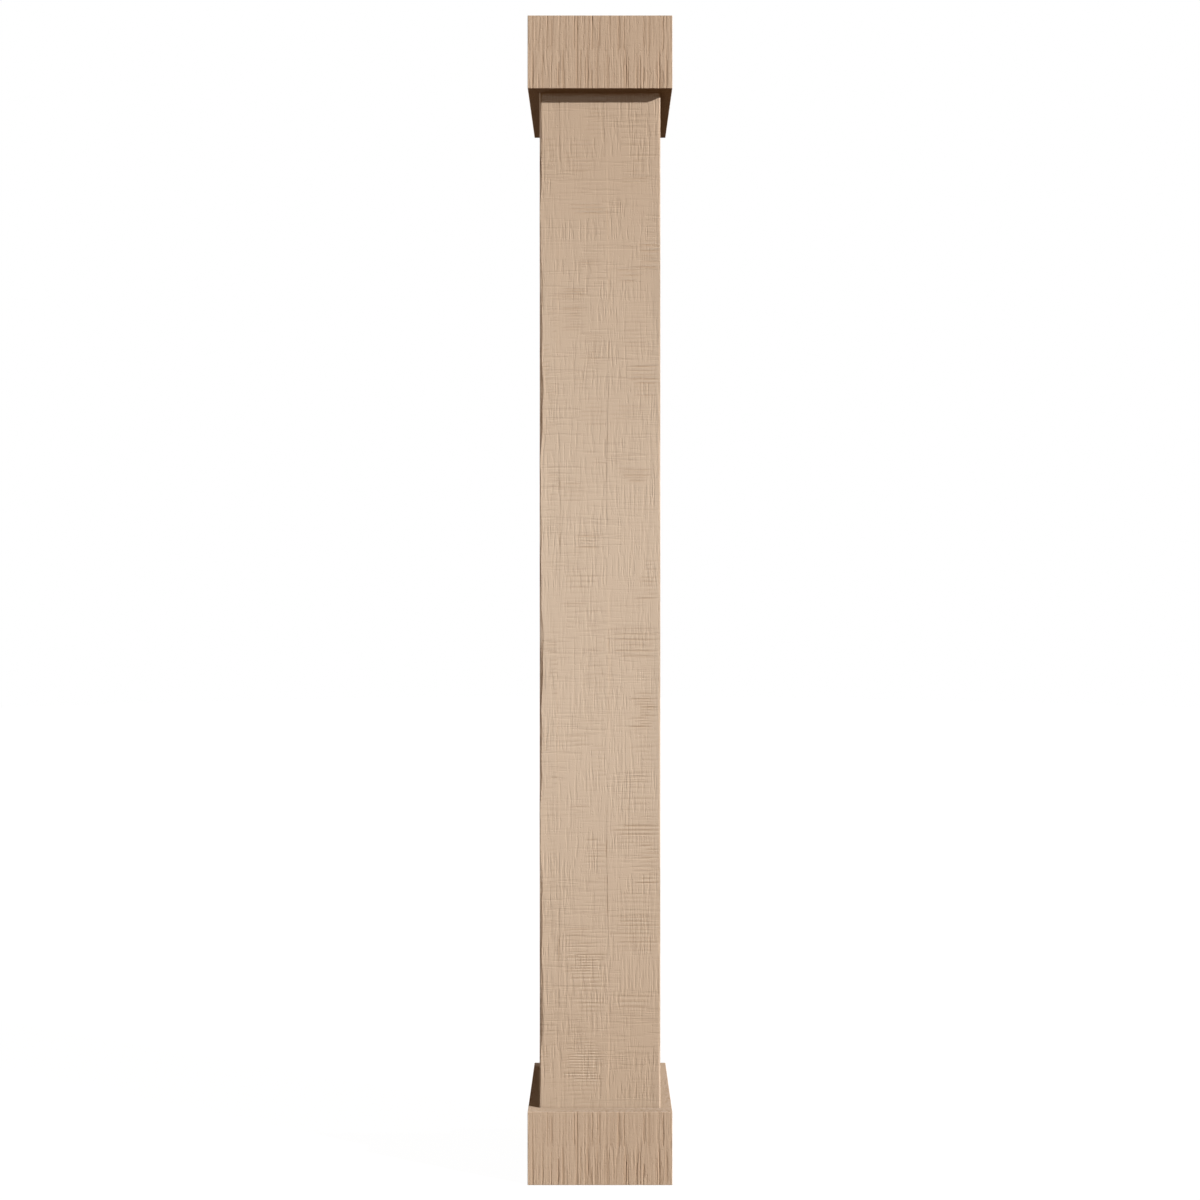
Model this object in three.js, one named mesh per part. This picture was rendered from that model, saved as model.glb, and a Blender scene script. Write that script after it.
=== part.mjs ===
// A square column wrap: a hollow shaft that closes round a standing post, with a box collar at its head
// and a like one at its foot. Every piece is cast in rigid foam from rough-sawn timber, so the shaft's
// arrises wander in width and the collars carry the kerfs that the saw left across the boards.
// Millimetres, +Z up. The origin is on the floor, on the shaft's centre line, and the front looks along -Y.
import * as THREE from "three";

// The shaft, square in plan, from the floor to the soffit.
const HEIGHT = 2438.4;
const SHAFT_WIDTH = 254;
const SHAFT_WALL = 20;

// The collars, alike at head and foot.
const COLLAR_HEIGHT = 152.4;
const COLLAR_BOARD = 23.7;

// The rebate along the back of the shaft's sides that seats the closing panel, the dry joint that is left
// between one piece and the next, and the eased lip beside a back joint.
const REBATE = 8;
const JOINT_GAP = 0.3;
const JOINT_LIP = 1;

// The shaft's worn arrises. Each face falls back over this width to the corner, by this share of the width,
// so that the corner stays but is blunt. Both wander along the grain, between these limits, and are worked
// in sections this far apart. The front right corner is crisper and has only a share of the others' wear.
const ARRIS_WIDTH = [0.6, 9];
const ARRIS_FALL = [0.1, 0.27];
const ARRIS_STEP = 25.4;
const FULL_WEAR = 1;
const FRONT_RIGHT_WEAR = 0.4;

// The wander of an arris along the grain, as waves of these lengths and shares. The lag sets how far a
// wave is shifted from one arris to the next, and the fall lags the width by a set turn.
const WAVES = [
  { length: 640, share: 0.46, lag: 1.7 },
  { length: 255, share: 0.34, lag: 2.7 },
  { length: 104, share: 0.2, lag: 3.7 },
];
const FALL_LAG = 0.9;

// The saw kerfs across a collar's boards, in millimetres from the least to the most: the pitch from one to
// the next, the depth, half the width at the lip, and the place of the first one from the board's corner.
const KERF_PITCH = [12.6, 29.4];
const KERF_DEPTH = [0.15, 0.45];
const KERF_HALF_WIDTH = [2.2, 3.8];
const FIRST_KERF = [8.4, 18.9];
const LAST_KERF_MARGIN = 10.5;

// How the kerfs run up a board: the rows that one is worked in, where on the board's height one stroke of
// the saw gives way to the next, the share of the strokes that mark only the upper or only the lower part,
// and the share of a kerf's depth that is left as a faint score beyond its stroke.
const KERF_ROWS = 6;
const STROKE_CHANGE = [0.36, 0.62];
const UPPER_STROKES = 0.4;
const LOWER_STROKES = 0.4;
const FAINT_SCORE = 0.15;

// The throw that each sawn face starts its run of chances with, and the run's own constants.
const FACE_SEEDS = { front: 12832, right: 23, back: 37, left: 53 };
const DICE = { step: 1664525, shift: 1013904223, sides: 2 ** 32 };

const HALF_SHAFT = SHAFT_WIDTH / 2;
const HALF_BORE = HALF_SHAFT - SHAFT_WALL;
const HALF_SEAT = HALF_BORE + REBATE;
const HALF_EYE = HALF_SHAFT + JOINT_GAP;
const HALF_COLLAR = HALF_EYE + COLLAR_BOARD;

const { lerp, smoothstep } = THREE.MathUtils;

// The tan primer, which the collars' rougher boards hold a little darker than the shaft does.
const shaftTan = new THREE.MeshStandardMaterial({ color: 0xc5ae97, roughness: 0.85, metalness: 0 });
const collarTan = new THREE.MeshStandardMaterial({ color: 0xb89e85, roughness: 0.9, metalness: 0 });

// A run of numbers from 0 to 1 that is the same each time for one seed.
function dice(seed) {
  let state = seed;
  return () => {
    state = (state * DICE.step + DICE.shift) % DICE.sides;
    return state / DICE.sides;
  };
}

// An outline drawn upwards to a height. A point with an at(z) of its own follows that as it rises.
function drawUp(outline, height, steps) {
  const key = (p) => Math.fround(p.x) + "," + Math.fround(p.y);
  const points = new Map(outline.map((p) => [key(p), p]));
  const shape = new THREE.Shape(outline.map((p) => new THREE.Vector2(p.x, p.y)));
  const geometry = new THREE.ExtrudeGeometry(shape, { depth: height, steps, bevelEnabled: false });
  const position = geometry.getAttribute("position");
  const vertex = new THREE.Vector3();
  for (let i = 0; i < position.count; i++) {
    vertex.fromBufferAttribute(position, i);
    const point = points.get(key(vertex));
    const place = point.at ? point.at(vertex.z) : point;
    position.setXY(i, place.x, place.y);
  }
  geometry.computeVertexNormals();
  return geometry;
}

function piece(name, geometry, finish) {
  const made = new THREE.Mesh(geometry, finish);
  made.name = name;
  return made;
}

// The wander at a height, from 0 to 1. Each arris has a turn of its own, so no two wander alike.
function wander(z, turn) {
  const wave = ({ length, share, lag }) => share * Math.sin((2 * Math.PI * z) / length + turn * lag);
  const sum = WAVES.reduce((total, one) => total + wave(one), 0);
  return (1 + sum) / 2;
}

// One worn outer corner of the shaft, as three points: where the face before it starts to fall back, the
// blunted corner, and where the face after it does. The side steps lead away from the corner along each.
function wornCorner(x, y, before, after, turn, wear) {
  const point = (shares) => {
    const at = (z) => {
      const width = lerp(...ARRIS_WIDTH, wear * wander(z, turn));
      const [back, on] = shares(lerp(...ARRIS_FALL, wander(z, turn + FALL_LAG)));
      return {
        x: x + width * (before.x * back + after.x * on),
        y: y + width * (before.y * back + after.y * on),
      };
    };
    return { ...at(0), at };
  };
  return [point(() => [1, 0]), point((fall) => [fall, fall]), point(() => [0, 1])];
}

// The shaft's front and two sides, cast in one: a channel that is open at the back, with a rebate there.
function shaftChannel() {
  const [left, right] = [{ x: -1, y: 0 }, { x: 1, y: 0 }];
  const [forward, rearward] = [{ x: 0, y: -1 }, { x: 0, y: 1 }];
  const outline = [
    ...wornCorner(-HALF_SHAFT, HALF_SHAFT, right, forward, 1, FULL_WEAR),
    ...wornCorner(-HALF_SHAFT, -HALF_SHAFT, rearward, right, 2, FULL_WEAR),
    ...wornCorner(HALF_SHAFT, -HALF_SHAFT, left, rearward, 3, FRONT_RIGHT_WEAR),
    ...wornCorner(HALF_SHAFT, HALF_SHAFT, forward, left, 4, FULL_WEAR),
    { x: HALF_SEAT, y: HALF_SHAFT },
    { x: HALF_SEAT, y: HALF_BORE },
    { x: HALF_BORE, y: HALF_BORE },
    { x: HALF_BORE, y: -HALF_BORE },
    { x: -HALF_BORE, y: -HALF_BORE },
    { x: -HALF_BORE, y: HALF_BORE },
    { x: -HALF_SEAT, y: HALF_BORE },
    { x: -HALF_SEAT, y: HALF_SHAFT },
  ];
  return drawUp(outline, HEIGHT, Math.round(HEIGHT / ARRIS_STEP));
}

// The board that closes the shaft, seated in the rebates of its sides, with a lip eased along each joint.
// Its inner field stands proud of the seats by the joint, and so lies flush with the rebates' shoulders.
function shaftBackPanel() {
  const field = HALF_BORE - JOINT_GAP;
  const half = HALF_SEAT - JOINT_GAP;
  const seat = HALF_BORE + JOINT_GAP;
  const outline = [
    { x: -field, y: HALF_BORE },
    { x: field, y: HALF_BORE },
    { x: field, y: seat },
    { x: half, y: seat },
    { x: half, y: HALF_SHAFT - JOINT_LIP },
    { x: half - JOINT_LIP, y: HALF_SHAFT },
    { x: -half + JOINT_LIP, y: HALF_SHAFT },
    { x: -half, y: HALF_SHAFT - JOINT_LIP },
    { x: -half, y: seat },
    { x: -field, y: seat },
  ];
  return drawUp(outline, HEIGHT, 1);
}

// How much of a kerf is cut at a share of the board's height. A saw stroke marks the upper part of the
// board, the lower part, or all of it.
function strokeShare(stroke, share) {
  const rise = smoothstep(share, ...STROKE_CHANGE);
  if (stroke < UPPER_STROKES) return lerp(FAINT_SCORE, 1, rise);
  if (stroke < UPPER_STROKES + LOWER_STROKES) return lerp(1, FAINT_SCORE, rise);
  return 1;
}

// The points of one sawn face from a corner along a direction, without the corners themselves. The
// inward direction is into the board.
function sawnFace(from, along, inward, length, seed) {
  const roll = dice(seed);
  const pick = (range) => lerp(...range, roll());
  const points = [];
  const place = (run, depth) => ({
    x: from.x + along.x * run + inward.x * depth,
    y: from.y + along.y * run + inward.y * depth,
  });
  let run = pick(FIRST_KERF);
  while (run < length - LAST_KERF_MARGIN) {
    const middle = run;
    const half = pick(KERF_HALF_WIDTH);
    const depth = pick(KERF_DEPTH);
    const stroke = roll();
    const bottom = (z) => place(middle, depth * strokeShare(stroke, z / COLLAR_HEIGHT));
    points.push(place(middle - half, 0), { ...place(middle, depth), at: bottom }, place(middle + half, 0));
    run += pick(KERF_PITCH);
  }
  return points;
}

// A collar's front and two sides, cast in one: a channel that is open at the back.
function collarChannel() {
  const size = 2 * HALF_COLLAR;
  const [backLeft, frontLeft] = [{ x: -HALF_COLLAR, y: HALF_COLLAR }, { x: -HALF_COLLAR, y: -HALF_COLLAR }];
  const [frontRight, backRight] = [{ x: HALF_COLLAR, y: -HALF_COLLAR }, { x: HALF_COLLAR, y: HALF_COLLAR }];
  const outline = [
    backLeft,
    ...sawnFace(backLeft, { x: 0, y: -1 }, { x: 1, y: 0 }, size, FACE_SEEDS.left),
    frontLeft,
    ...sawnFace(frontLeft, { x: 1, y: 0 }, { x: 0, y: 1 }, size, FACE_SEEDS.front),
    frontRight,
    ...sawnFace(frontRight, { x: 0, y: 1 }, { x: -1, y: 0 }, size, FACE_SEEDS.right),
    backRight,
    { x: HALF_EYE, y: HALF_COLLAR },
    { x: HALF_EYE, y: -HALF_EYE },
    { x: -HALF_EYE, y: -HALF_EYE },
    { x: -HALF_EYE, y: HALF_COLLAR },
  ];
  return drawUp(outline, COLLAR_HEIGHT, KERF_ROWS);
}

// The board that closes a collar between the back ends of its sides.
function collarBackBoard() {
  const half = HALF_EYE - JOINT_GAP;
  const [right, left] = [{ x: half, y: HALF_COLLAR }, { x: -half, y: HALF_COLLAR }];
  const outline = [
    { x: -half, y: HALF_EYE },
    { x: half, y: HALF_EYE },
    right,
    ...sawnFace(right, { x: -1, y: 0 }, { x: 0, y: -1 }, 2 * half, FACE_SEEDS.back),
    left,
  ];
  return drawUp(outline, COLLAR_HEIGHT, KERF_ROWS);
}

function collar(name, floor) {
  const group = new THREE.Group();
  group.add(piece(name, collarChannel(), collarTan));
  group.add(piece(name + "_back_board", collarBackBoard(), collarTan));
  group.position.z = floor;
  return group;
}

const columnWrap = new THREE.Group();
columnWrap.add(piece("shaft", shaftChannel(), shaftTan));
columnWrap.add(piece("shaft_back_panel", shaftBackPanel(), shaftTan));
columnWrap.add(collar("base", 0), collar("capital", HEIGHT - COLLAR_HEIGHT));

export default columnWrap;
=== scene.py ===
import math

import bpy
import numpy as np
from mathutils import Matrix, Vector


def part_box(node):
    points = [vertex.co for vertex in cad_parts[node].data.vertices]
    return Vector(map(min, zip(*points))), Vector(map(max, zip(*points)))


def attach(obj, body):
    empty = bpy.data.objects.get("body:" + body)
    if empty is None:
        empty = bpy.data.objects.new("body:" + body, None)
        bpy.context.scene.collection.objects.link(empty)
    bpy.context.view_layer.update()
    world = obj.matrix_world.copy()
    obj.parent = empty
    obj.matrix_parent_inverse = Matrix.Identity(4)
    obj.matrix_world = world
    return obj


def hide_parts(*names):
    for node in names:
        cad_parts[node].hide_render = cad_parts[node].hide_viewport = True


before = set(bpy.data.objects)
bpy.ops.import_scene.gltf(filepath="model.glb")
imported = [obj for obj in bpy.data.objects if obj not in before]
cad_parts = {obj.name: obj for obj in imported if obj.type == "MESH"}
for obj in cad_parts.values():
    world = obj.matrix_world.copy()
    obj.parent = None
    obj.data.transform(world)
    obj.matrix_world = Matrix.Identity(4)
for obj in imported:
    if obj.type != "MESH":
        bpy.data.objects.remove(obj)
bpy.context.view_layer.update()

# The shaft is the front and both sides of the wrap, cast in one as a channel of rigid foam in a mould
# taken from rough-sawn timber, and primed tan. It goes round the standing post from the front.
# Sizes are in millimetres here and below, and a mesh is turned to metres when it is made.
MM = 0.001
JOINT_GAP = 0.3
LIP_EASE = 1.0
SHAFT_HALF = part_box("shaft")[1].x / MM
SHAFT_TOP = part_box("shaft")[1].z / MM
COLLAR_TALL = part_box("base")[1].z / MM
BORE_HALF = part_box("shaft_back_panel")[0].y / MM
SEAT_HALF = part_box("shaft_back_panel")[1].x / MM + JOINT_GAP
LEFT, RIGHT = np.array([-1.0, 0.0]), np.array([1.0, 0.0])
FRONT, BACK = np.array([0.0, -1.0]), np.array([0.0, 1.0])

# The rows that the shaft is worked in, close together where it shows between the collars.
SCORE_ROW = 2.9
COLLAR_LAP = 4.0
HIDDEN_ROWS = 4


def shaft_rows():
    low, high = COLLAR_TALL - COLLAR_LAP, SHAFT_TOP - COLLAR_TALL + COLLAR_LAP
    return np.concatenate([
        np.linspace(0, low, HIDDEN_ROWS, endpoint=False),
        np.linspace(low, high, round((high - low) / SCORE_ROW)),
        np.linspace(high, SHAFT_TOP, HIDDEN_ROWS + 1)[1:],
    ])


def between(limits, share):
    return limits[0] + (limits[1] - limits[0]) * share


# A worn arris: both faces fall back to a blunt corner, over a width and by a share of it that wander
# along the grain. The saw has nicked it crosswise.
ARRIS_WIDTH = (0.6, 9.0)
ARRIS_FALL = (0.1, 0.27)
ARRIS_WAVES = ((640, 0.46, 1.7), (255, 0.34, 2.7), (104, 0.2, 3.7))
FALL_LAG = 0.9
CORNER_WEAR = {1: 1.0, 2: 1.0, 3: 0.4, 4: 1.0}
ARRIS_SHARES = np.array([1, 0.66, 0.33, 0.06])
NICK_DEPTH = 0.06


def wander(up, turn):
    waves = [share * np.sin(2 * math.pi * up / length + turn * lag) for length, share, lag in ARRIS_WAVES]
    return (1 + sum(waves)) / 2


def arris_width(up, turn):
    return between(ARRIS_WIDTH, CORNER_WEAR[turn] * wander(up, turn))


def worn_corner(up, corner, before, after, turn):
    width = arris_width(up, turn)[:, None]
    fall = between(ARRIS_FALL, wander(up, turn + FALL_LAG))[:, None]
    along = width * (fall + (1 - fall) * ARRIS_SHARES)
    nicks = np.random.default_rng(turn).random((len(up), 1)) * NICK_DEPTH * width
    back = (width * fall + nicks) * (1 - ARRIS_SHARES)
    first = corner + along[..., None] * before + back[..., None] * after
    second = corner + along[..., None] * after + back[..., None] * before
    wear_and_highlight = np.concatenate([1 - ARRIS_SHARES, 1 - ARRIS_SHARES[::-1]])
    return strip(np.concatenate([first, second[:, ::-1]], axis=1), wear_and_highlight=wear_and_highlight)


def strip(places, wear_and_highlight=0.0, hollow=0.0, bare=False):
    shape = places.shape[:2]
    return {
        "places": places,
        "wear_and_highlight": np.broadcast_to(wear_and_highlight, shape),
        "hollow": np.broadcast_to(hollow, shape),
        "bare": np.full(shape[1], bare),
    }


def plain(up, *places, bare=False):
    return strip(np.broadcast_to(np.array(places), (len(up), len(places), 2)), bare=bare)


# The sawn face. Its timber was three boards edge to edge, each standing a little proud of the next or
# below it, and the saw scored each board across in patches. Checks have opened here and there along the
# seams between the boards.
COLUMN = 11.5
SEAM_COLUMNS = np.array([-5.0, -1.6, 0.0, 1.6, 5.0])
SEAM_WANDER = 2.5
SEAM_WAVE = 730.0
PATCH_ROWS = (6, 34)
PATCH_SHARE = 0.35
SCORE_ROWS = (2, 5)
SCORE_DEPTH = 0.42
SCORE_SKEW = 1.3
SCORE_EVENNESS = (0.4, 1.0)
SCORE_FADE = 6.0
SCORE_RAGGED = 0.12
CHECK_HALF_WIDTH = 1.6
CHECK_LONG = (8, 40)
CHECK_DEPTH = (0.04, 0.2)
CHECK_TAPER = 3
CHECKS_PER_SEAM = 22
BOARD_STEP = 0.5
BOARD_WAVE = 900.0
HOLLOW_FULL = 0.3


def seam_line(up, place):
    return place + SEAM_WANDER * np.sin(2 * math.pi * up / SEAM_WAVE + place)


def face_columns(up, start, end, seams):
    lines = [start]
    for place in seams:
        lines += [seam_line(up, place) + offset for offset in SEAM_COLUMNS]
    lines.append(end)
    columns = []
    for low, high in zip(lines[:-1], lines[1:]):
        count = max(1, round(float(np.median(high - low)) / COLUMN))
        columns.append(low[:, None] + (high - low)[:, None] * np.arange(count) / count)
    return np.concatenate(columns, axis=1)[:, 1:]


def fade(value, reach):
    share = np.clip(value / reach, 0, 1)
    return share * share * (3 - 2 * share)


def saw_scores(across, left, right, roll):
    depth = np.zeros_like(across)
    row = 0
    while row < len(depth):
        patch_end = row + roll.integers(*PATCH_ROWS)
        strength = SCORE_DEPTH * roll.random() ** SCORE_SKEW
        start = (1 - PATCH_SHARE) * roll.random()
        patch = np.array([start, roll.uniform(start + PATCH_SHARE, 1)])
        for score in range(row, min(patch_end, len(depth)), roll.integers(*SCORE_ROWS)):
            ends = left + (right - left) * (patch + roll.uniform(-SCORE_RAGGED, SCORE_RAGGED, 2))
            inside = fade(across[score] - max(left, ends[0]), SCORE_FADE)
            inside *= fade(min(right, ends[1]) - across[score], SCORE_FADE)
            depth[score] += strength * roll.uniform(*SCORE_EVENNESS) * inside
        row = patch_end
    return depth


def check(across, up, place, low, high, deep):
    near = np.clip(1 - np.abs(across - seam_line(up, place)[:, None]) / CHECK_HALF_WIDTH, 0, 1)
    taper = (high - low) / CHECK_TAPER
    length = fade(up - low, taper) * fade(high - up, taper)
    return deep * near * length[:, None]


def sawn_face(across, up, width, seams, seed, known_checks=()):
    roll = np.random.default_rng(seed)
    depth, sunk = np.zeros_like(across), np.zeros_like(across)
    edges = [0, *seams, width]
    for left, right in zip(edges[:-1], edges[1:]):
        depth += saw_scores(across, left, right, roll)
        inside = (across > seam_line(up, left)[:, None]) & (across <= seam_line(up, right)[:, None])
        sway = np.sin(2 * math.pi * (up / BOARD_WAVE + roll.random()))
        sunk += inside * (BOARD_STEP * (1 + sway) / 2)[:, None]
    for place in seams:
        for _ in range(CHECKS_PER_SEAM):
            low = roll.uniform(up[0], up[-1])
            high = low + roll.uniform(*CHECK_LONG)
            depth += check(across, up, place, low, high, roll.uniform(*CHECK_DEPTH))
    for place, low, high, deep in known_checks:
        depth += check(across, up, place, low, high, deep)
    return depth, sunk


def face_strip(corner, along, inward, across, depth, sunk=0.0, hollow_full=HOLLOW_FULL):
    places = corner + across[..., None] * along + (depth + sunk)[..., None] * inward
    return strip(places, hollow=np.clip(depth / hollow_full, 0, 1))


# A closed mesh drawn up through its rows, with a flat face over each end. The faces that are bare foam
# take the second material, and each point keeps how worn and how hollow the surface is there. How worn it
# is sets the paler paint on the arrises, partly wear and partly a painted highlight.
SHARP_ANGLE = math.radians(5)


def closed_piece(name, up, strips, materials, bare_ends, floor=0.0):
    places = np.concatenate([part["places"] for part in strips], axis=1)
    rows, count, _ = places.shape
    heights = np.broadcast_to(floor + up[:, None, None], (rows, count, 1))
    points = np.concatenate([places, heights], axis=2).reshape(-1, 3) * MM
    index = np.arange(rows * count).reshape(rows, count)
    onward = np.roll(index, -1, axis=1)
    sides = np.stack([index[:-1], onward[:-1], onward[1:], index[1:]], axis=-1).reshape(-1, 4)
    ends = [index[0, ::-1].tolist(), index[-1].tolist()]
    mesh = bpy.data.meshes.new(name)
    mesh.from_pydata(points.tolist(), [], sides.tolist() + ends)
    bare = np.concatenate([part["bare"] for part in strips])
    finish = np.concatenate([np.tile(bare, rows - 1), bare_ends]).astype(np.int32)
    mesh.polygons.foreach_set("material_index", finish)
    mesh.polygons.foreach_set("use_smooth", np.arange(len(finish)) < len(sides))
    mesh.set_sharp_from_angle(angle=SHARP_ANGLE)
    for mark in ("wear_and_highlight", "hollow"):
        values = np.concatenate([part[mark] for part in strips], axis=1)
        layer = mesh.attributes.new(mark, "FLOAT", "POINT")
        layer.data.foreach_set("value", values.astype(np.float32).ravel())
    for material in materials:
        mesh.materials.append(material)
    made = bpy.data.objects.new(name, mesh)
    bpy.context.scene.collection.objects.link(made)
    return made


# Nodes are made and joined by these.
def node(tree, kind, **sockets):
    made = tree.nodes.new("ShaderNode" + kind)
    for name, value in sockets.items():
        join(tree, value, made.inputs[name.replace("_", " ")])
    return made


def join(tree, value, socket):
    if isinstance(value, bpy.types.NodeSocket):
        tree.links.new(value, socket)
    else:
        socket.default_value = value


def maths(tree, operation, *values):
    made = tree.nodes.new("ShaderNodeMath")
    made.operation = operation
    for value, socket in zip(values, made.inputs):
        join(tree, value, socket)
    return made.outputs[0]


def mixed(tree, share, first, second):
    made = tree.nodes.new("ShaderNodeMix")
    made.data_type = "RGBA"
    for value, place in ((share, 0), (first, 6), (second, 7)):
        join(tree, value, made.inputs[place])
    return made.outputs[2]


def grain(tree, place, scale, detail):
    stretched = node(tree, "Mapping", Vector=place, Scale=scale)
    return node(tree, "TexNoise", Vector=stretched.outputs[0], Scale=1.0, Detail=detail).outputs[0]


def ramp(tree, value, low, high):
    return node(tree, "MapRange", Value=value, From_Min=low, From_Max=high).outputs[0]


# The sawn primer is the finish that every face outside shares: matt paint over the ticks of the fibres,
# the fine scores and the pits that the mould took from the timber. The ticks and scores lie in patches.
# The umber lies in random clouds over the tan, and it also darkens the cuts and hollows as painted shade.
# The arrises are painted paler, partly as wear and partly as a painted highlight. A scale is in waves to
# the metre, a patch is so many metres wide and high, and an edge is where a noise starts to show and where
# it is full.
TICK_EDGE = (0.52, 0.36)
TICK_PATCH = (0.062, 0.043)
TICK_PATCH_EDGE = (-0.4, 0.8)
SCORE_SCALE = (13, 13, 175)
SCORE_EDGE = (0.5, 0.36)
SCORE_PATCH = (0.083, 0.058)
SCORE_PATCH_EDGE = (0.0, 0.8)
PATCH_SHIFT = 0.37
PIT_SCALE = (260, 260, 210)
PIT_EDGE = (0.34, 0.24)
PIT_SHARE = 0.6
CLOUD_SCALE = (4, 4, 3)
CLOUD_EDGE = (0.35, 0.65)
CLOUD_SHARE = 0.1
# Painted shade in the cuts and the hollows, and the most of it:
CUT_SHADE = 0.12
HOLLOW_SHADE = 0.35
SHADE_MOST = 0.6
# The paler arrises, partly wear and partly a painted highlight:
RUB_HIGHLIGHT_EDGE = (0.35, 0.6)
RUB_HIGHLIGHT_SHARE = 0.45
PRIMER_ROUGHNESS = 0.7
FIBRE_ROUGHNESS = 0.2
HOLLOW_ROUGHNESS = 0.1


def sawn_primer():
    tree = bpy.data.node_groups.new("sawn_primer", "ShaderNodeTree")
    for name in ("Tan", "Umber and shade", "Rub and highlight"):
        tree.interface.new_socket(name, in_out="INPUT", socket_type="NodeSocketColor")
    tree.interface.new_socket("Tick scale", in_out="INPUT", socket_type="NodeSocketVector")
    for name in ("Ticks", "Scores"):
        tree.interface.new_socket(name, in_out="INPUT", socket_type="NodeSocketFloat")
    tree.interface.new_socket("Color", in_out="OUTPUT", socket_type="NodeSocketColor")
    for name in ("Roughness", "Height"):
        tree.interface.new_socket(name, in_out="OUTPUT", socket_type="NodeSocketFloat")
    given = tree.nodes.new("NodeGroupInput").outputs
    place = node(tree, "TexCoord").outputs["Object"]
    hollow, wear_and_highlight = mark(tree, "hollow"), mark(tree, "wear_and_highlight")
    fibres = grain(tree, place, given["Tick scale"], 2)
    scored = grain(tree, place, SCORE_SCALE, 2)
    clouds = grain(tree, place, CLOUD_SCALE, 4)

    tick_patch = ramp(tree, patches(tree, place, *TICK_PATCH), *TICK_PATCH_EDGE)
    score_patch = ramp(tree, patches(tree, place, *SCORE_PATCH), *SCORE_PATCH_EDGE)
    ticks = maths(tree, "MULTIPLY", ramp(tree, fibres, *TICK_EDGE), tick_patch)
    scores = maths(tree, "MULTIPLY", ramp(tree, scored, *SCORE_EDGE), score_patch)
    pits = ramp(tree, grain(tree, place, PIT_SCALE, 1), *PIT_EDGE)
    cut = maths(tree, "MULTIPLY", scores, given["Scores"])
    cut = maths(tree, "MULTIPLY_ADD", ticks, given["Ticks"], cut)
    cut = maths(tree, "MULTIPLY_ADD", pits, PIT_SHARE, cut)

    clouded = maths(tree, "MULTIPLY", ramp(tree, clouds, *CLOUD_EDGE), CLOUD_SHARE)
    # Painted shade: the umber darkens the cuts and the hollows, where shade would fall, up to a limit.
    painted_shade = maths(tree, "MULTIPLY", hollow, HOLLOW_SHADE)
    painted_shade = maths(tree, "MULTIPLY_ADD", cut, CUT_SHADE, painted_shade)
    painted_shade = maths(tree, "MINIMUM", painted_shade, SHADE_MOST)
    # The arrises are painted paler: partly rubbed wear, partly a painted highlight.
    rub_and_highlight = maths(tree, "MULTIPLY", wear_and_highlight, ramp(tree, fibres, *RUB_HIGHLIGHT_EDGE))
    rub_and_highlight = maths(tree, "MULTIPLY", rub_and_highlight, RUB_HIGHLIGHT_SHARE)
    tan = mixed(tree, clouded, given["Tan"], given["Umber and shade"])
    tan = mixed(tree, painted_shade, tan, given["Umber and shade"])
    tan = mixed(tree, rub_and_highlight, tan, given["Rub and highlight"])

    rough = maths(tree, "MULTIPLY_ADD", fibres, FIBRE_ROUGHNESS, PRIMER_ROUGHNESS)
    rough = maths(tree, "MULTIPLY_ADD", hollow, HOLLOW_ROUGHNESS, rough)
    height = maths(tree, "SUBTRACT", 1.0, cut)
    out = tree.nodes.new("NodeGroupOutput").inputs
    for value, name in ((tan, "Color"), (rough, "Roughness"), (height, "Height")):
        tree.links.new(value, out[name])
    return tree


def mark(tree, name):
    attribute = node(tree, "Attribute")
    attribute.attribute_name = name
    return attribute.outputs["Fac"]


def patches(tree, place, wide, tall):
    axes = node(tree, "SeparateXYZ", Vector=place).outputs
    flat = node(tree, "CombineXYZ", X=maths(tree, "ADD", axes["X"], axes["Y"]), Y=axes["Z"]).outputs[0]
    cells = node(tree, "TexBrick", Vector=flat, Color1=(0, 0, 0, 1), Color2=(1, 1, 1, 1), Scale=1.0)
    cells.inputs["Mortar Size"].default_value = 0.0
    cells.inputs["Brick Width"].default_value = wide
    cells.inputs["Row Height"].default_value = tall
    cells.offset = PATCH_SHIFT
    return cells.outputs["Color"]


# The paint has a soft sheen on its upright faces. For bounce rays its colour is darkened towards black, so
# most of the light that it would throw on other pieces is lost: painted shade on the pieces round it.
SAWN_PRIMER = sawn_primer()
PRIMER_RISE = 0.0004
BOUNCE_LOSS = 0.8
UPRIGHT_EDGE = (0.6, 0.3)
SHEEN_ROUGHNESS = 0.3


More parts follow.
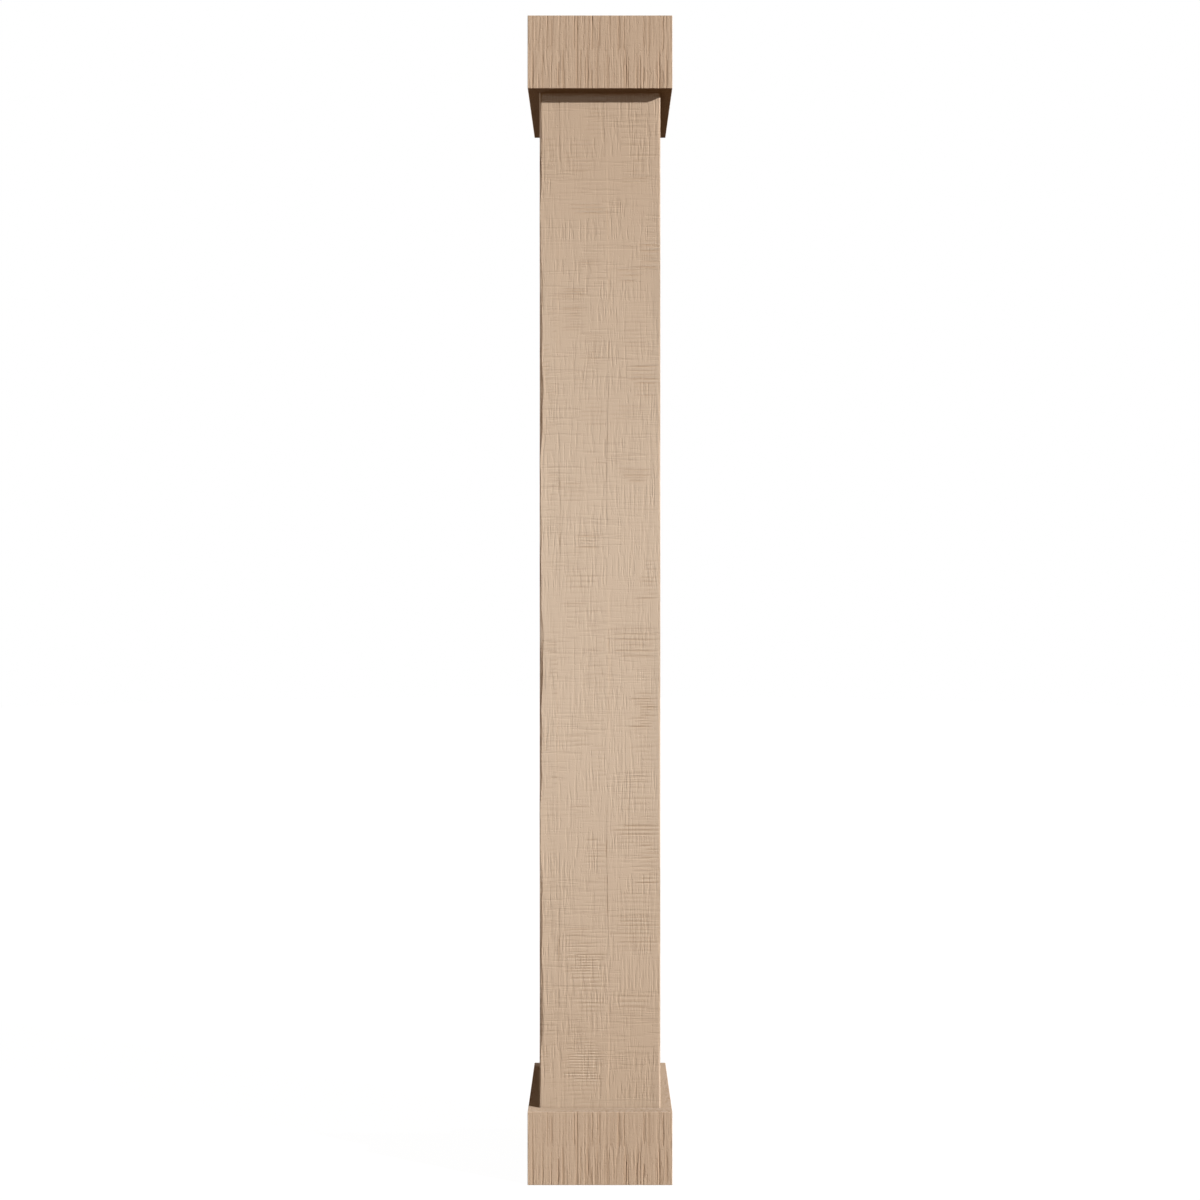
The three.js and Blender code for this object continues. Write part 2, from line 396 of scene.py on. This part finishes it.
def primed(name, tan, umber_and_shade, rub_and_highlight, tick_scale, ticks, scores):
    material = bpy.data.materials.new(name)
    material.use_nodes = True
    tree = material.node_tree
    coat = tree.nodes.new("ShaderNodeGroup")
    coat.node_tree = SAWN_PRIMER
    for socket, value in zip(coat.inputs, (tan, umber_and_shade, rub_and_highlight, tick_scale, ticks, scores)):
        socket.default_value = value
    bump = node(tree, "Bump", Strength=1.0, Distance=PRIMER_RISE, Height=coat.outputs["Height"])
    bounced = maths(tree, "MULTIPLY", node(tree, "LightPath").outputs["Is Diffuse Ray"], BOUNCE_LOSS)
    facing = node(tree, "SeparateXYZ", Vector=node(tree, "NewGeometry").outputs["Normal"]).outputs
    level = maths(tree, "ABSOLUTE", facing["Z"])
    shader = tree.nodes["Principled BSDF"]
    # Painted shade: bounce rays see the colour darkened towards black, so less light reaches the pieces
    # near it.
    tree.links.new(mixed(tree, bounced, coat.outputs["Color"], (0, 0, 0, 1)), shader.inputs["Base Color"])
    tree.links.new(coat.outputs["Roughness"], shader.inputs["Roughness"])
    tree.links.new(bump.outputs["Normal"], shader.inputs["Normal"])
    shader.inputs["Specular IOR Level"].default_value = 0.0
    tree.links.new(ramp(tree, level, *UPRIGHT_EDGE), shader.inputs["Coat Weight"])
    shader.inputs["Coat Roughness"].default_value = SHEEN_ROUGHNESS
    return material


# The inner faces and the trimmed ends are the bare foam, straw-coloured, with a fine open skin. The pits of
# its cells are painted darker as shade.
FOAM_PALE = (0.60, 0.47, 0.29, 1)
FOAM_DEEP = (0.52, 0.39, 0.23, 1)
FOAM_PORE_SHADE = (0.36, 0.26, 0.15, 1)
FOAM_CELLS = 520.0
FOAM_CLOUDS = (9, 9, 5)
PORE_SHADE_EDGE = (0.25, 0.05)
FOAM_RISE = 0.0003


def bare_foam():
    material = bpy.data.materials.new("bare_foam")
    material.use_nodes = True
    tree = material.node_tree
    place = node(tree, "TexCoord").outputs["Object"]
    cells = node(tree, "TexVoronoi", Vector=place, Scale=FOAM_CELLS).outputs["Distance"]
    clouds = grain(tree, place, FOAM_CLOUDS, 4)
    tone = mixed(tree, ramp(tree, clouds, *CLOUD_EDGE), FOAM_PALE, FOAM_DEEP)
    # Painted shade: the pits of the foam's cells are darker.
    tone = mixed(tree, ramp(tree, cells, *PORE_SHADE_EDGE), tone, FOAM_PORE_SHADE)
    rough = maths(tree, "MULTIPLY_ADD", clouds, FIBRE_ROUGHNESS, PRIMER_ROUGHNESS)
    bump = node(tree, "Bump", Strength=1.0, Distance=FOAM_RISE, Height=cells)
    shader = tree.nodes["Principled BSDF"]
    tree.links.new(tone, shader.inputs["Base Color"])
    tree.links.new(rough, shader.inputs["Roughness"])
    tree.links.new(bump.outputs["Normal"], shader.inputs["Normal"])
    return material


BARE_FOAM = bare_foam()
SHAFT_PRIMER = primed(
    "shaft_primer",
    tan=(0.5, 0.38, 0.277, 1),
    umber_and_shade=(0.30, 0.20, 0.12, 1),
    rub_and_highlight=(0.59, 0.50, 0.425, 1),
    tick_scale=(240, 240, 24),
    ticks=0.85,
    scores=0.75,
)

# Each face's seams, from its left edge as one looks at it. The front's checks are those that stand out:
# the seam's place, the height where the check starts and ends, and its depth.
SHAFT_SEAMS = {"left": (88, 171), "front": (40, 143), "right": (66, 187), "back": (57, 141)}
SHAFT_SEEDS = {"left": 5, "front": 7, "right": 9, "back": 13}
FRONT_CHECKS = (
    (40, 1842, 1874, 0.25),
    (40, 450, 518, 0.25),
    (143, 2000, 2054, 0.3),
    (143, 1116, 1144, 0.25),
)


def shaft_channel():
    up = shaft_rows()
    width = 2 * SHAFT_HALF
    corners = {
        "back_left": SHAFT_HALF * (BACK + LEFT),
        "front_left": SHAFT_HALF * (FRONT + LEFT),
        "front_right": SHAFT_HALF * (FRONT + RIGHT),
        "back_right": SHAFT_HALF * (BACK + RIGHT),
    }

    def face(name, start, along, inward, turn, checks=()):
        first = arris_width(up, turn)
        last = width - arris_width(up, turn + 1)
        across = face_columns(up, first, last, SHAFT_SEAMS[name])
        depth, sunk = sawn_face(across, up, width, SHAFT_SEAMS[name], SHAFT_SEEDS[name], checks)
        return face_strip(corners[start], along, inward, across, depth, sunk)

    strips = [
        worn_corner(up, corners["back_left"], RIGHT, FRONT, 1),
        face("left", "back_left", FRONT, RIGHT, 1),
        worn_corner(up, corners["front_left"], BACK, RIGHT, 2),
        face("front", "front_left", RIGHT, BACK, 2, FRONT_CHECKS),
        worn_corner(up, corners["front_right"], LEFT, BACK, 3),
        face("right", "front_right", BACK, LEFT, 3),
        worn_corner(up, corners["back_right"], FRONT, LEFT, 4),
        plain(up, (SEAT_HALF + LIP_EASE, SHAFT_HALF)),
        plain(
            up,
            (SEAT_HALF, SHAFT_HALF - LIP_EASE),
            (SEAT_HALF, BORE_HALF),
            (BORE_HALF, BORE_HALF),
            (BORE_HALF, -BORE_HALF),
            (-BORE_HALF, -BORE_HALF),
            (-BORE_HALF, BORE_HALF),
            (-SEAT_HALF, BORE_HALF),
            bare=True,
        ),
        plain(up, (-SEAT_HALF, SHAFT_HALF - LIP_EASE), (-SEAT_HALF - LIP_EASE, SHAFT_HALF)),
    ]
    return closed_piece("shaft_channel", up, strips, [SHAFT_PRIMER, BARE_FOAM], (True, True))


shaft = shaft_channel()
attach(shaft, "root")
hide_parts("shaft")


# The closing panel fills the open back of the shaft. It is a flat casting from the same timber, glued
# into the rebates along the shaft's sides once the channel stands round the post.
def closing_panel():
    up = shaft_rows()
    half, outside = SEAT_HALF - JOINT_GAP, SHAFT_HALF
    field, seat = BORE_HALF - JOINT_GAP, BORE_HALF + JOINT_GAP
    width = 2 * (half - LIP_EASE)
    rows = np.ones(len(up))
    across = face_columns(up, 0 * rows, width * rows, SHAFT_SEAMS["back"])
    across = np.concatenate([0 * rows[:, None], across], axis=1)
    depth, sunk = sawn_face(across, up, width, SHAFT_SEAMS["back"], SHAFT_SEEDS["back"])

    strips = [
        plain(up, (-field, BORE_HALF), (field, BORE_HALF), (field, seat), (half, seat), bare=True),
        plain(up, (half, outside - LIP_EASE)),
        face_strip(np.array([half - LIP_EASE, outside]), LEFT, FRONT, across, depth, sunk),
        plain(up, (LIP_EASE - half, outside)),
        plain(up, (-half, outside - LIP_EASE), (-half, seat), (-field, seat), bare=True),
    ]
    return closed_piece("shaft_closing_panel", up, strips, [SHAFT_PRIMER, BARE_FOAM], (True, True))


panel = closing_panel()
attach(panel, "root")
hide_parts("shaft_back_panel")

# The collars box in the shaft at its foot and head. Each is three boards cast in one and a fourth that
# closes the back, from rougher timber than the shaft: a coarse saw went up and down across the boards.
EYE_HALF = SHAFT_HALF + JOINT_GAP
COLLAR_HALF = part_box("base")[1].x / MM
COLLAR_COLUMN = 1.0
COLLAR_ROW = 2.6
EDGE_EASE = 0.7
CORNER_CALM = 4.0
RUB_HIGHLIGHT_REACH = 2.0
COLLAR_HOLLOW_FULL = 0.2

# The deep kerfs, which follow the throws of one run of dice for each face.
KERF_PITCH = (12.6, 29.4)
KERF_DEPTH = (0.15, 0.45)
KERF_HALF_WIDTH = (2.2, 3.8)
FIRST_KERF = (8.4, 18.9)
LAST_KERF_MARGIN = 10.5
STROKE_CHANGE = (0.36, 0.62)
UPPER_STROKES = 0.4
LOWER_STROKES = 0.4
FAINT_SCORE = 0.15
FACE_SEEDS = {"front": 12832, "right": 23, "back": 37, "left": 53}
DICE_STEP, DICE_SHIFT, DICE_SIDES = 1664525, 1013904223, 2**32

# The finer streaks between them, which run from the board's top or from its foot to about the middle.
STREAK_PITCH = (2.5, 11.0)
STREAK_DEPTH = (0.06, 0.62)
STREAK_SKEW = 2
STREAK_HALF_WIDTH = (1.2, 2.3)
STREAK_BREAKS = 0.5
PIT_DEPTH = 0.03
STREAK_END = {"top": (72, 86), "foot": (36, 84)}
STREAK_FADE = 6.0
STREAK_WOBBLE = 0.35
STREAK_WAVE = 47.0


def collar_rows():
    middle = np.linspace(EDGE_EASE, COLLAR_TALL - EDGE_EASE, round(COLLAR_TALL / COLLAR_ROW))
    return np.concatenate([[0], middle, [COLLAR_TALL]])


def dice(seed):
    state = seed
    while True:
        state = (state * DICE_STEP + DICE_SHIFT) % DICE_SIDES
        yield state / DICE_SIDES


def stroke_share(stroke, up):
    start, end = (share * COLLAR_TALL for share in STROKE_CHANGE)
    rise = fade(up - start, end - start)
    if stroke < UPPER_STROKES:
        return between((FAINT_SCORE, 1), rise)
    if stroke < UPPER_STROKES + LOWER_STROKES:
        return between((1, FAINT_SCORE), rise)
    return np.ones_like(up)


def kerfs(across, up, length, seed):
    throws = dice(seed)
    depth = np.zeros((len(up), len(across)))
    run = between(FIRST_KERF, next(throws))
    while run < length - LAST_KERF_MARGIN:
        half = between(KERF_HALF_WIDTH, next(throws))
        deep = between(KERF_DEPTH, next(throws)) * stroke_share(next(throws), up)
        depth += deep[:, None] * np.clip(1 - np.abs(across - run) / half, 0, 1)
        run += between(KERF_PITCH, next(throws))
    return depth


def streaks(across, up, length, roll):
    depth = np.zeros((len(up), len(across)))
    for edge, ends in STREAK_END.items():
        run = roll.uniform(*STREAK_PITCH)
        while run < length:
            end = roll.uniform(*ends)
            reach = up - end if edge == "top" else end - up
            sway = STREAK_WOBBLE * np.sin(2 * math.pi * up / STREAK_WAVE + run)
            near = np.abs(across - run - sway[:, None]) / roll.uniform(*STREAK_HALF_WIDTH)
            deep = between(STREAK_DEPTH, roll.random() ** STREAK_SKEW) * fade(reach, STREAK_FADE)
            deep *= 1 - STREAK_BREAKS * roll.random(len(up))
            depth += deep[:, None] * np.clip(1 - near, 0, 1)
            run += roll.uniform(*STREAK_PITCH)
    return depth + roll.normal(0, PIT_DEPTH, depth.shape)


# The gouges that stand out on the front: how far from its left edge, from what height to what height,
# and how deep. One scratch runs aslant near the middle.
FRONT_GOUGES = (
    (50, 86, 146, 0.22),
    (97, 82, 150, 0.2),
    (149, 84, 150, 0.25),
    (193, 80, 150, 0.22),
    (245, 88, 150, 0.2),
    (64, 4, 58, 0.5),
    (126, 17, 46, 0.4),
    (205, 6, 52, 0.45),
    (243, 12, 46, 0.35),
    (291, 3, 62, 0.35),
)
GOUGE_HALF_WIDTH = 2.4
SCRATCH = {"start": (130, 92), "end": (168, 77), "half_width": 1.5, "depth": 0.12}


def gouges(across, up):
    depth = np.zeros((len(up), len(across)))
    for place, low, high, deep in FRONT_GOUGES:
        near = np.clip(1 - np.abs(across - place) / GOUGE_HALF_WIDTH, 0, 1)
        length = fade(up - low, STREAK_FADE) * fade(high - up, STREAK_FADE)
        depth += deep * length[:, None] * near
    (left, high), (right, low) = SCRATCH["start"], SCRATCH["end"]
    share = (across - left) / (right - left)
    line = high + (low - high) * share
    near = np.clip(1 - np.abs(up[:, None] - line) / SCRATCH["half_width"], 0, 1)
    return depth + SCRATCH["depth"] * near * ((share > 0) & (share < 1))


def board_face(up, corner, along, inward, length, seed, marked=False):
    across = np.linspace(EDGE_EASE, length - EDGE_EASE, round(length / COLLAR_COLUMN))
    depth = kerfs(across, up, length, seed) + streaks(across, up, length, np.random.default_rng(seed))
    if marked:
        depth += gouges(across, up)
    edge = np.minimum(across, length - across)
    depth *= fade(edge, CORNER_CALM)
    spread = np.broadcast_to(across, depth.shape)
    made = face_strip(corner, along, inward, spread, depth, hollow_full=COLLAR_HOLLOW_FULL)
    # The board's edges and eased ends get the paler paint: partly wear, partly a painted highlight.
    rub_and_highlight = np.maximum(1 - edge / RUB_HIGHLIGHT_REACH, eased(up)[:, None] / EDGE_EASE)
    places = made["places"] + eased(up)[:, None, None] * inward
    return {**made, "places": places, "wear_and_highlight": np.clip(rub_and_highlight, 0, 1)}


def board_edge(up, inward, *places):
    made = plain(up, *places)
    return {**made, "places": made["places"] + eased(up)[:, None, None] * inward}


def eased(up):
    return np.where((up <= 0) | (up >= COLLAR_TALL), EDGE_EASE, 0)


COLLAR_PRIMER = primed(
    "collar_primer",
    tan=(0.506, 0.383, 0.279, 1),
    umber_and_shade=(0.27, 0.165, 0.095, 1),
    rub_and_highlight=(0.58, 0.47, 0.38, 1),
    tick_scale=(210, 210, 16),
    ticks=0.9,
    scores=0.15,
)
COLLAR_FINISH = [COLLAR_PRIMER, BARE_FOAM]


def collar_channel(name, floor, bare_ends):
    up = collar_rows()
    size = 2 * COLLAR_HALF
    outside, back = COLLAR_HALF - EDGE_EASE, COLLAR_HALF

    def board(side, start, along, inward):
        return board_face(up, COLLAR_HALF * start, along, inward, size, FACE_SEEDS[side], side == "front")

    strips = [
        board("left", BACK + LEFT, FRONT, RIGHT),
        board("front", FRONT + LEFT, RIGHT, BACK),
        board("right", FRONT + RIGHT, BACK, LEFT),
        board_edge(up, FRONT, (outside, back), (EYE_HALF + EDGE_EASE, back)),
        plain(up, (EYE_HALF, back - EDGE_EASE), (EYE_HALF, -EYE_HALF), (-EYE_HALF, -EYE_HALF), bare=True),
        plain(up, (-EYE_HALF, back - EDGE_EASE)),
        board_edge(up, FRONT, (-EYE_HALF - EDGE_EASE, back), (-outside, back)),
    ]
    return closed_piece(name, up, strips, COLLAR_FINISH, bare_ends, floor)


def collar_board(name, floor, bare_ends):
    up = collar_rows()
    half = EYE_HALF - JOINT_GAP
    corner = np.array([half, COLLAR_HALF])
    strips = [
        plain(up, (-half, EYE_HALF), (half, EYE_HALF), bare=True),
        plain(up, (half, COLLAR_HALF - EDGE_EASE)),
        board_face(up, corner, LEFT, FRONT, 2 * half, FACE_SEEDS["back"]),
        plain(up, (-half, COLLAR_HALF - EDGE_EASE), bare=True),
    ]
    return closed_piece(name, up, strips, COLLAR_FINISH, bare_ends, floor)


# The base stands on the floor round the shaft's foot. Its underside is trimmed to bare foam, and its
# top is primed.
base = collar_channel("base_collar", 0.0, (True, False))
base_board = collar_board("base_closing_board", 0.0, (True, False))
for piece, replaced in ((base, "base"), (base_board, "base_back_board")):
    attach(piece, "root")
    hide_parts(replaced)

# The capital is a second collar from the same mould, the same way up, under the soffit. Here it is the
# top that is trimmed to bare foam.
capital = collar_channel("capital_collar", SHAFT_TOP - COLLAR_TALL, (False, True))
capital_board = collar_board("capital_closing_board", SHAFT_TOP - COLLAR_TALL, (False, True))
for piece, replaced in ((capital, "capital"), (capital_board, "capital_back_board")):
    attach(piece, "root")
    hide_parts(replaced)

# The studio is a plain white floor that runs out of sight, with none of its light inside the hollow. The
# key is far to the right and a little above, with a weak lamp over it. A fill behind on the left never
# reaches the front, a softbox in front only gives the paint its sheen, and the room round it is dim.
FLOOR_RADIUS = 14.0
FLOOR_SIDES = 96
FLOOR_DROP = 0.0005
FLOOR_GREY = (0.06, 0.06, 0.06, 1)
FLOOR_GLOW = 0.985
WHITE, BLACK = (1, 1, 1, 1), (0, 0, 0, 1)
KEY_TOWARDS = (0.852, -0.391, 0.348)
KEY_POWER = 6.95
KEY_ANGLE = math.radians(1.2)
HIGH_TOWARDS = (0.78, 0.0, 0.62)
HIGH_POWER = 0.65
HIGH_TINT = (0.95, 1, 1.05)
FILL_TOWARDS = (-0.75, 0.66, 0.0)
FILL_POWER = 4.2
FILL_ANGLE = math.radians(8)
SOFTBOX_TOWARDS = (-0.08, -0.9968, 0.0)
SOFTBOX_EDGE = (0.94, 0.985)
SOFTBOX_LIGHT = (4.5, 5.0, 5.0, 1)
SOFTBOX_DARK = (0.03, 0.025, 0.02, 1)
ROOM_ABOVE = (0.17, 0.115, 0.078, 1)
ROOM_BELOW_AHEAD = (0.28, 0.15, 0.065, 1)
ROOM_BELOW_ASIDE = (0.055, 0.03, 0.013, 1)
ROOM_EDGE = (-0.5, 0.1)


def white_floor():
    turns = np.linspace(0, 2 * math.pi, FLOOR_SIDES, endpoint=False)
    points = [(FLOOR_RADIUS * math.cos(turn), FLOOR_RADIUS * math.sin(turn), -FLOOR_DROP) for turn in turns]
    mesh = bpy.data.meshes.new("floor")
    mesh.from_pydata(points, [], [list(range(FLOOR_SIDES))])
    material = bpy.data.materials.new("white_floor")
    material.use_nodes = True
    shader = material.node_tree.nodes["Principled BSDF"]
    shader.inputs["Base Color"].default_value = FLOOR_GREY
    shader.inputs["Roughness"].default_value = 1.0
    shader.inputs["Specular IOR Level"].default_value = 0.0
    shader.inputs["Emission Strength"].default_value = FLOOR_GLOW
    tree = material.node_tree
    across = node(tree, "SeparateXYZ", Vector=node(tree, "TexCoord").outputs["Object"]).outputs
    sideways, rearward = (maths(tree, "ABSOLUTE", across[axis]) for axis in "XY")
    outside = maths(tree, "GREATER_THAN", maths(tree, "MAXIMUM", sideways, rearward), SHAFT_HALF * MM)
    tree.links.new(mixed(tree, outside, BLACK, WHITE), shader.inputs["Emission Color"])
    mesh.materials.append(material)
    made = bpy.data.objects.new("floor", mesh)
    made.visible_diffuse = False
    made.visible_glossy = False
    bpy.context.scene.collection.objects.link(made)
    return made


def sun(name, towards, power, angle, color):
    light = bpy.data.lights.new(name, "SUN")
    light.energy = power
    light.angle = angle
    light.color = color
    made = bpy.data.objects.new(name, light)
    made.rotation_euler = Vector(towards).to_track_quat("Z", "Y").to_euler()
    made.visible_glossy = False
    bpy.context.scene.collection.objects.link(made)


def surround():
    world = bpy.data.worlds.new("surround")
    world.use_nodes = True
    tree = world.node_tree
    towards = node(tree, "TexCoord").outputs["Generated"]
    rays = node(tree, "LightPath").outputs
    facing = node(tree, "VectorMath", Vector=towards)
    facing.operation = "DOT_PRODUCT"
    facing.inputs[1].default_value = SOFTBOX_TOWARDS
    softbox = ramp(tree, facing.outputs["Value"], *SOFTBOX_EDGE)
    above = ramp(tree, node(tree, "SeparateXYZ", Vector=towards).outputs["Z"], *ROOM_EDGE)
    ahead = ramp(tree, facing.outputs["Value"], 0.0, 1.0)
    below = mixed(tree, ahead, ROOM_BELOW_ASIDE, ROOM_BELOW_AHEAD)
    room = mixed(tree, above, below, ROOM_ABOVE)
    sheen = mixed(tree, softbox, SOFTBOX_DARK, SOFTBOX_LIGHT)
    seen = mixed(tree, rays["Is Glossy Ray"], room, sheen)
    seen = mixed(tree, rays["Is Camera Ray"], seen, WHITE)
    tree.links.new(seen, tree.nodes["Background"].inputs["Color"])
    bpy.context.scene.world = world


floor = white_floor()
sun("key", KEY_TOWARDS, KEY_POWER, KEY_ANGLE, (1, 1, 1))
sun("high", HIGH_TOWARDS, HIGH_POWER, KEY_ANGLE, HIGH_TINT)
sun("fill", FILL_TOWARDS, FILL_POWER, FILL_ANGLE, (1, 1, 1))
surround()
bpy.context.scene.view_settings.view_transform = "Standard"

# The camera stands level in front, at half the wrap's height.
CAMERA_AT = (0, -2.968, 1.2198)
SENSOR_WIDTH = 36
LENS = 40.55
camera = bpy.data.objects.new("camera", bpy.data.cameras.new("camera"))
camera.location = CAMERA_AT
camera.rotation_euler = (math.radians(90), 0, 0)
camera.data.sensor_width = SENSOR_WIDTH
camera.data.lens = LENS
bpy.context.scene.collection.objects.link(camera)
bpy.context.scene.camera = camera
